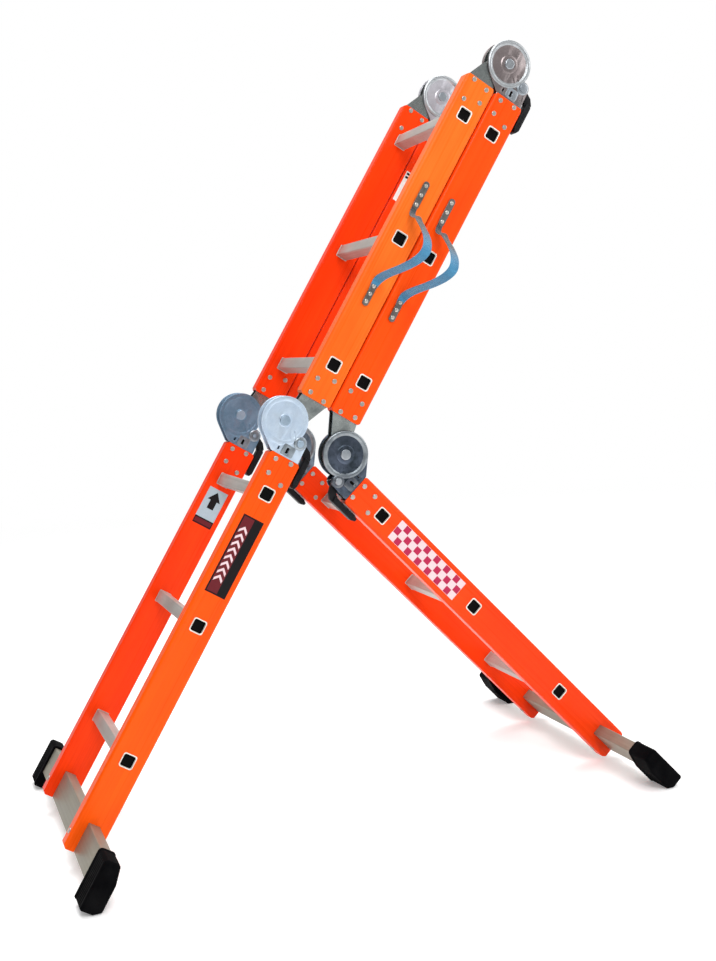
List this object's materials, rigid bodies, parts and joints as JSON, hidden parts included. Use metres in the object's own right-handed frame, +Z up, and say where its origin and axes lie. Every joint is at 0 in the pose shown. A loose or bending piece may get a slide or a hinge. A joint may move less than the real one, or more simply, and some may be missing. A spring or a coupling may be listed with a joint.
{
  "type": "folding multi-position ladder",
  "caption": "Fibreglass folding ladder of short sections joined by locking hinges, standing on two wide stabiliser bars, with a prop section swung out behind.",
  "frame": {"origin": "on the floor, under the middle of the standing ladder's box", "axes": "+Z up, +X from the feet of section 1 to the feet of the prop section 4, +Y across the width to the ladder's right side"},
  "size_m": [1.2016, 0.758, 1.5069],
  "materials": {
    "fibreglass": "glossy pultruded fibreglass, orange red",
    "aluminium": "satin extruded aluminium",
    "zinc_steel": "bright zinc plate, slightly blue",
    "fastener": "zinc plated rivets and bolts",
    "black_latch": "black powder coat",
    "black_rubber": "matt moulded rubber",
    "webbing": "woven blue webbing",
    "strap_clip": "dull riveted steel strip"
  },
  "bodies": {
    "section1": {"section1_stile_left": "fibreglass", "section1_stile_right": "fibreglass", "section1_rung_1": "aluminium", "section1_rung_2": "aluminium", "section1_rung_3": "aluminium", "section1_stabiliser_bar": "aluminium", "section1_boot_left": "black_rubber", "section1_boot_right": "black_rubber", "section1_bar_rivets": "fastener", "middle_hinge_covers_left": "zinc_steel", "middle_hinge_covers_right": "zinc_steel", "middle_hinge_pins": "fastener", "middle_hinge_latch_springs": "fastener", "section1_rivets": "fastener"},
    "section2": {"section2_stile_left": "fibreglass", "section2_stile_right": "fibreglass", "section2_rung_1": "aluminium", "section2_rung_2": "aluminium", "section2_rung_3": "aluminium", "middle_hinge_index_left": "zinc_steel", "middle_hinge_index_right": "zinc_steel", "top_hinge_index_left": "zinc_steel", "top_hinge_index_right": "zinc_steel", "section2_rivets": "fastener", "section2_strap": "webbing", "section2_strap_clamps": "strap_clip"},
    "section3": {"section3_stile_left": "fibreglass", "section3_stile_right": "fibreglass", "section3_rung_1": "aluminium", "section3_rung_2": "aluminium", "section3_rung_3": "aluminium", "top_hinge_covers_left": "zinc_steel", "top_hinge_covers_right": "zinc_steel", "top_hinge_pins": "fastener", "top_hinge_latch_springs": "fastener", "rear_hinge_index_left": "zinc_steel", "rear_hinge_index_right": "zinc_steel", "section3_rivets": "fastener", "section3_strap": "webbing", "section3_strap_clamps": "strap_clip"},
    "section4": {"section4_stile_left": "fibreglass", "section4_stile_right": "fibreglass", "section4_rung_1": "aluminium", "section4_rung_2": "aluminium", "section4_rung_3": "aluminium", "section4_stabiliser_bar": "aluminium", "section4_boot_left": "black_rubber", "section4_boot_right": "black_rubber", "section4_bar_rivets": "fastener", "rear_hinge_covers_left": "zinc_steel", "rear_hinge_covers_right": "zinc_steel", "rear_hinge_pins": "fastener", "rear_hinge_latch_springs": "fastener", "section4_rivets": "fastener"},
    "middle_hinge_latch_left": {"middle_hinge_latch_left": "black_latch"},
    "middle_hinge_latch_right": {"middle_hinge_latch_right": "black_latch"},
    "top_hinge_latch_left": {"top_hinge_latch_left": "black_latch"},
    "top_hinge_latch_right": {"top_hinge_latch_right": "black_latch"},
    "rear_hinge_latch_left": {"rear_hinge_latch_left": "black_latch"},
    "rear_hinge_latch_right": {"rear_hinge_latch_right": "black_latch"}
  },
  "joints": [
    {"name": "middle_hinge_fold", "type": "hinge", "parent": "section1", "child": "section2", "pos_m": [-0.1138, 0, 0.79561], "axis": [0, -1, 0], "range_deg": [0, 178]},
    {"name": "top_hinge_open", "type": "hinge", "parent": "section2", "child": "section3", "pos_m": [0.40502, 0, 1.45994], "axis": [0, -1, 0], "range_deg": [0, 180]},
    {"name": "rear_hinge_open", "type": "hinge", "parent": "section3", "child": "section4", "pos_m": [0.00332, 0, 0.7189], "axis": [0, 1, 0], "range_deg": [-103.5, 36]},
    {"name": "middle_hinge_latch_left_pull", "type": "hinge", "parent": "section1", "child": "middle_hinge_latch_left", "pos_m": [-0.08734, -0.16175, 0.74839], "axis": [0, -1, 0], "range_deg": [0, 8], "stiffness_Nm_per_rad": 1.5, "springref_deg": -20.05},
    {"name": "middle_hinge_latch_right_pull", "type": "hinge", "parent": "section1", "child": "middle_hinge_latch_right", "pos_m": [-0.08734, 0.16175, 0.74839], "axis": [0, -1, 0], "range_deg": [0, 8], "stiffness_Nm_per_rad": 1.5, "springref_deg": -20.05},
    {"name": "top_hinge_latch_left_pull", "type": "hinge", "parent": "section3", "child": "top_hinge_latch_left", "pos_m": [0.43147, -0.16175, 1.41273], "axis": [0, -1, 0], "range_deg": [0, 8], "stiffness_Nm_per_rad": 1.5, "springref_deg": -20.05},
    {"name": "top_hinge_latch_right_pull", "type": "hinge", "parent": "section3", "child": "top_hinge_latch_right", "pos_m": [0.43147, 0.16175, 1.41273], "axis": [0, -1, 0], "range_deg": [0, 8], "stiffness_Nm_per_rad": 1.5, "springref_deg": -20.05},
    {"name": "rear_hinge_latch_left_pull", "type": "hinge", "parent": "section4", "child": "rear_hinge_latch_left", "pos_m": [-0.01582, -0.16175, 0.66828], "axis": [0, 1, 0], "range_deg": [0, 8], "stiffness_Nm_per_rad": 1.5, "springref_deg": -20.05},
    {"name": "rear_hinge_latch_right_pull", "type": "hinge", "parent": "section4", "child": "rear_hinge_latch_right", "pos_m": [-0.01582, 0.16175, 0.66828], "axis": [0, 1, 0], "range_deg": [0, 8], "stiffness_Nm_per_rad": 1.5, "springref_deg": -20.05}
  ]
}
